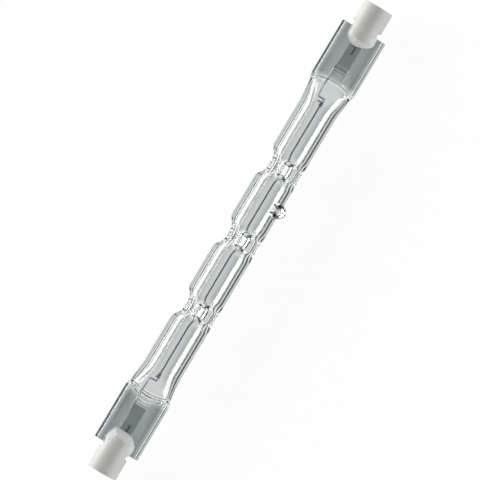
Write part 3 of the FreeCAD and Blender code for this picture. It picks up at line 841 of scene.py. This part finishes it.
def cement_dab(end, up, outline):
    """Cement spread on one face of the seal and up against the cap."""
    let_go()
    bpy.ops.mesh.primitive_circle_add(vertices=96, radius=1, fill_type="NGON")
    dab = settle(f"dab_{end}_{'top' if up > 0 else 'under'}")
    lengths = [0.0]
    for here, following in zip(outline, outline[1:] + outline[:1]):
        lengths.append(lengths[-1] + math.dist(here, following))

    def on_outline(part):
        run = part * lengths[-1]
        for i in range(len(outline)):
            if run <= lengths[i + 1] + 1e-9:
                share = (run - lengths[i]) / (lengths[i + 1] - lengths[i])
                here, following = outline[i], outline[(i + 1) % len(outline)]
                return [a + (b - a) * share for a, b in zip(here, following)]
        return outline[0]

    for i, point in enumerate(dab.data.vertices):
        x, y = on_outline(i / len(dab.data.vertices))
        spot = Vector((x * DAB_EDGE_WAVES, y * DAB_EDGE_WAVES, 7.0 * ENDS[end] + up))
        wander = noise.noise(spot) * DAB_WANDER
        point.co = (x - wander, y + wander * 0.6, 0)
    bpy.ops.object.mode_set(mode="EDIT")
    bpy.ops.mesh.select_all(action="SELECT")
    for rise, narrow in DAB_STEPS:
        bpy.ops.mesh.extrude_region_move(TRANSFORM_OT_translate={"value": (0, 0, rise)})
        bpy.ops.transform.resize(value=(narrow, narrow, 1), center_override=DAB_MIDDLE)
    bpy.ops.object.mode_set(mode="OBJECT")
    face_outwards(dab)
    use(dab, "REMESH", mode="VOXEL", voxel_size=DAB_VOXEL)
    use(dab, "SMOOTH", iterations=8, factor=0.5)
    press(
        dab,
        lambda point: Vector((point.x, point.y, up * (SEAL_WEB_HEIGHT - DAB_SUNK + point.z)))
        + noise.noise_vector(point * DAB_LUMP_WAVES) * DAB_LUMPS,
    )
    return face_outwards(dab)


def cap_cement(end):
    """Cement on both faces of the seal, and the cement that fills the slot behind the seal's end."""
    dabs = [cement_dab(end, up, CEMENT_OUTLINES[end]) for up in (1, -1)]
    fill = block(
        f"fill_{end}",
        (SEAL_STOP - 0.02, -FILL_HALF_WIDTH, -SLOT_HALF),
        (SLOT_FLOOR, FILL_HALF_WIDTH, SLOT_HALF),
    )
    use(fill, "BEVEL", width=FILL_ROUNDING, segments=3)
    cement = gather(f"cement_{end}", dabs + [fill])
    turned_end(cement, end)
    return lay_down(cement, CEMENT, "cement", f"cap_cement_{end}", smooth=60)


def end_contact(end):
    """The contact button at the bottom of the cap's recess, slightly domed."""
    contact = rod(f"contact_{end}", CONTACT_BACK, CONTACT_FRONT, CONTACT_RADIUS - CONTACT_FIT, 64)
    bpy.ops.object.mode_set(mode="EDIT")
    pick(contact, "faces", lambda co, no: no.x > 0.9)
    for narrower, higher in CONTACT_DOME:
        bpy.ops.mesh.inset(thickness=narrower, depth=higher)
    bpy.ops.object.mode_set(mode="OBJECT")
    rim = math.radians(50)
    use(contact, "BEVEL", width=CONTACT_ROUNDING, segments=2, limit_method="ANGLE", angle_limit=rim)
    turned_end(contact, end)
    return lay_down(contact, NICKEL, "contact_metal", f"end_contact_{end}")


# Leads and filament

def outer_lead(end):
    """The straight lead from the foil out to the contact."""
    lead = rod(f"outer_wire_{end}", OUTER_LEAD_START, CONTACT_BACK, OUTER_LEAD_RADIUS, 32)
    lead.data.transform(Matrix.Translation((0, 0, OUTER_LEAD_Z)))
    rim = math.radians(50)
    use(lead, "BEVEL", width=OUTER_LEAD_ROUNDING, segments=3, limit_method="ANGLE", angle_limit=rim)
    turned_end(lead, end)
    return lay_down(lead, TARNISHED, "molybdenum", f"outer_lead_{end}")


def inner_lead(end):
    """The lead from the foil, on the far side of the axis, bent over to hold the filament's end."""
    side = LEAD_SIDE * ENDS[end]
    lead = wire_along(
        f"inner_wire_{end}",
        [
            (INNER_LEAD_START, side, 0),
            (39.0, side, 0),
            (36.2, side * 0.92, 0),
            (LEAD_CROSS, side * 0.9, 0),
            (LEAD_CROSS, side * 0.6, 0),
            (LEAD_CROSS, 0.1 * side, 0),
            (LEAD_CROSS, -0.06 * side, 0),
            (LEAD_CROSS - 0.3, -0.06 * side, 0),
            (LEAD_CROSS - 0.75, -0.06 * side, 0),
            (LEAD_CROSS - 0.85, 0.1 * side, 0),
            (LEAD_CROSS - 0.85, HOOK_RISE[end] * side, 0),
        ],
        INNER_LEAD_RADIUS,
    )
    turned_end(lead, end)
    return lay_down(lead, MOLYBDENUM, "molybdenum", f"inner_lead_{end}")


def filament():
    """One tungsten wire: four wound lengths, bare legs through the dimples, and overwound ends."""
    wound_stop = FILAMENT_STOP - SLEEVE_LENGTH
    turns = []
    wound = [-wound_stop]
    for centre in DENT_PLACES:
        start, stop = centre - HALF_LEG, centre + HALF_LEG
        wound += [start, stop]
        leg = [
            (start, COIL_RADIUS, 0),
            (start + 0.1, 0.12, 0.05),
            (start + 0.5, 0, 0),
            (stop - 0.5, 0, 0),
            (stop - 0.1, 0.12, 0.05),
            (stop, COIL_RADIUS, 0),
        ]
        turns.append(wire_along("leg", leg, COIL_WIRE, rounds=1, steps=4))
    wound.append(wound_stop)
    for start, stop in zip(wound[0::2], wound[1::2]):
        turns.append(coil_between("winding", start, stop, COIL_RADIUS, COIL_WIRE, COIL_PITCH))
    for side in (-1, 1):
        start, stop = sorted((side * FILAMENT_STOP, side * wound_stop))
        turns.append(
            coil_between("end_winding", start, stop, SLEEVE_RADIUS, SLEEVE_WIRE, COIL_PITCH, steps=16)
        )
        turns.append(rod("core", start, stop, CORE_RADIUS, 12))
    wire = gather("filament_wire", turns)
    return lay_down(wire, TUNGSTEN, "tungsten", "filament", smooth=60)


for end in ENDS:
    ceramic_cap(end)
    cap_cement(end)
    end_contact(end)
    outer_lead(end)
    inner_lead(end)
filament()
for end in ENDS:
    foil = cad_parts[f"seal_foil_{end}"]
    foil.data.materials.clear()
    foil.data.materials.append(FOIL)


# Floor, light and camera

def white_floor():
    """A plain white floor: white to the eye and in reflections, with the lamp's faint shadow. What the
    quartz bends is the studio below and beside the lamp, so light through the glass passes the floor."""
    finish, tree = new_finish("matt_white_paper")
    rays = add_node(tree, "ShaderNodeLightPath")
    seen = add_node(
        tree,
        "ShaderNodeMath",
        {"operation": "MULTIPLY", 1: 0.9},
        {0: rays.outputs["Is Camera Ray"]},
    )
    mirrored = add_node(
        tree,
        "ShaderNodeMath",
        {"operation": "MULTIPLY_ADD", 1: 0.3},
        {0: rays.outputs["Is Glossy Ray"], 2: seen.outputs[0]},
    )
    paper = add_node(tree, "ShaderNodeBsdfDiffuse", {"Color": colour("#E4E5E5")})
    plain = add_node(tree, "ShaderNodeEmission", {"Color": colour("#FFFFFF"), "Strength": 1.05})
    white = add_node(
        tree,
        "ShaderNodeMixShader",
        links={0: mirrored.outputs[0], 1: paper.outputs[0], 2: plain.outputs[0]},
    )
    clear = add_node(tree, "ShaderNodeBsdfTransparent")
    shader = add_node(
        tree,
        "ShaderNodeMixShader",
        links={0: rays.outputs["Is Transmission Ray"], 1: white.outputs[0], 2: clear.outputs[0]},
    )
    close_finish(tree, shader)
    let_go()
    bpy.ops.mesh.primitive_plane_add(size=6, location=(0, 0, 0))
    floor = bpy.context.object
    floor.name = "floor"
    floor.data.materials.append(finish)


# What the quartz shows of the studio, in degrees from the line straight down through the lamp: across
# the lamp, then along it. A grey card lies behind it, darker towards its sides, with white boards beside
# it, a black strip and white ones further out, and a grey room.
STUDIO_ACROSS = [
    (-180, "#A4AAAA"), (-90, "#9AA0A0"), (-70, "#B4B9B9"), (-60, "#E2E5E5"), (-50, "#E2E5E5"),
    (-46, "#3E4646"), (-19, "#485050"), (-17, "#F2F4F4"), (-9.6, "#F8FAFA"), (-6.8, "#9CA2A2"),
    (-3, "#BEC3C3"), (0, "#D2D6D6"), (3, "#C8CCCC"), (6, "#AEB3B3"), (8, "#868C8C"),
    (9, "#A0A6A6"), (10.4, "#F4F6F6"), (11.4, "#F8FAFA"), (12.3, "#C0C5C5"), (13.2, "#F8FAFA"),
    (17, "#F2F4F4"), (19, "#757B7B"), (28, "#757B7B"), (31, "#F0F2F2"), (41, "#F0F2F2"),
    (45, "#757B7B"), (60, "#8A9090"), (75, "#9AA0A0"), (180, "#A4AAAA"),
]
STUDIO_ALONG = [(0, "#F8FAFA"), (44, "#F8FAFA"), (50, "#A6ABAB"), (66, "#868D8D"), (90, "#868D8D")]
# The grey card's edge along the lamp, in degrees
CARD_STOPS = 11
CARD_GONE = 14
# How bright the white room is on the lamp; to the camera it's 1
ROOM_LIGHT = 0.23


def ramp_of(tree, stops, low, high, value):
    """A colour ramp through the given stops, over a value that runs from low to high."""
    share = add_node(
        tree,
        "ShaderNodeMapRange",
        {"From Min": math.radians(low), "From Max": math.radians(high)},
        {"Value": value},
    )
    ramp = add_node(tree, "ShaderNodeValToRGB", links={0: share.outputs[0]})
    bands = ramp.color_ramp.elements
    while len(bands) < len(stops):
        bands.new(0.5)
    for band, (degrees, _) in zip(bands, stops):
        band.position = (degrees - low) / (high - low)
    for band, (_, code) in zip(bands, stops):
        band.color = colour(code)
    return ramp.outputs[0]


def studio_world():
    """White to the camera, weak and white on the lamp, and the studio's cards to light bent by quartz."""
    world = bpy.data.worlds.new("studio")
    bpy.context.scene.world = world
    world.use_nodes = True
    tree = world.node_tree
    tree.nodes.clear()
    rays = add_node(tree, "ShaderNodeLightPath")
    way = add_node(tree, "ShaderNodeTexCoord").outputs["Generated"]
    turned = add_node(tree, "ShaderNodeMapping", {"Rotation": (-REST_TILT, 0, 0)}, {"Vector": way})
    split = add_node(tree, "ShaderNodeSeparateXYZ", links={0: turned.outputs[0]})
    down = add_node(tree, "ShaderNodeMath", {"operation": "MULTIPLY", 1: -1.0}, {0: split.outputs["Z"]})
    across = add_node(
        tree, "ShaderNodeMath", {"operation": "ARCTAN2"}, {0: split.outputs["Y"], 1: down.outputs[0]}
    )
    size_along = add_node(tree, "ShaderNodeMath", {"operation": "ABSOLUTE"}, {0: split.outputs["X"]})
    along = add_node(tree, "ShaderNodeMath", {"operation": "ARCSINE"}, {0: size_along.outputs[0]})
    off_card = add_node(
        tree,
        "ShaderNodeMapRange",
        {"From Min": math.radians(CARD_STOPS), "From Max": math.radians(CARD_GONE)},
        {"Value": along.outputs[0]},
    )
    through_colour = add_node(
        tree,
        "ShaderNodeMix",
        {"data_type": "RGBA"},
        {
            0: off_card.outputs[0],
            6: ramp_of(tree, STUDIO_ACROSS, -180, 180, across.outputs[0]),
            7: ramp_of(tree, STUDIO_ALONG, 0, 90, along.outputs[0]),
        },
    )
    strength = add_node(
        tree,
        "ShaderNodeMapRange",
        {"To Min": ROOM_LIGHT, "To Max": 1.0},
        {"Value": rays.outputs["Is Camera Ray"]},
    )
    open_light = add_node(
        tree, "ShaderNodeBackground", {"Color": colour("#FFFFFF")}, {"Strength": strength.outputs[0]}
    )
    through = add_node(tree, "ShaderNodeBackground", links={"Color": through_colour.outputs[2]})
    both = add_node(
        tree,
        "ShaderNodeMixShader",
        links={0: rays.outputs["Is Transmission Ray"], 1: open_light.outputs[0], 2: through.outputs[0]},
    )
    add_node(tree, "ShaderNodeOutputWorld", links={"Surface": both.outputs[0]})


def soft_box(name, place, target, width, height, power):
    """A softbox: an area light of a width and height in metres, turned to a target."""
    let_go()
    bpy.ops.object.light_add(type="AREA", location=place)
    lamp = bpy.context.object
    lamp.name = name
    lamp.data.shape = "RECTANGLE"
    lamp.data.size = width
    lamp.data.size_y = height
    lamp.data.energy = power
    lamp.rotation_euler = (Vector(target) - Vector(place)).to_track_quat("-Z", "Y").to_euler()
    return lamp


# How much of the lamp's plane the photograph shows, in metres, and how the lamp is turned in it
FRAME_WIDTH = 0.1044
PHOTO_ROLL = math.radians(59.2)


def photo_camera():
    """The photograph's view: square on to the flat of the press seals, with a long lens, the lamp rising
    to the upper right, and the frame just cutting the caps' outer corners."""
    back = Vector((0, -math.sin(REST_TILT), math.cos(REST_TILT)))
    let_go()
    bpy.ops.object.camera_add()
    camera = bpy.context.object
    camera.name = "photo_camera"
    camera.data.lens = 300
    camera.data.sensor_width = 36
    distance = FRAME_WIDTH * camera.data.lens / camera.data.sensor_width
    camera.location = AXIS_AT_REST + back * distance
    camera.data.clip_start = 0.01
    camera.data.clip_end = 20
    right = Vector((1, 0, 0))
    up = back.cross(right)
    image_right = right * math.cos(PHOTO_ROLL) - up * math.sin(PHOTO_ROLL)
    image_up = back.cross(image_right)
    turn = Matrix((image_right, image_up, back)).transposed()
    camera.rotation_euler = turn.to_euler()
    bpy.context.scene.camera = camera


white_floor()
studio_world()
soft_box("long_softbox_left", (0, 0.48, 0.16), (0, 0, 0.004), width=0.6, height=0.2, power=3.0)
soft_box("long_softbox_right", (0, -0.5, 0.08), (0, 0, 0.004), width=0.6, height=0.12, power=1.5)
photo_camera()

bpy.context.scene.view_settings.view_transform = "Standard"
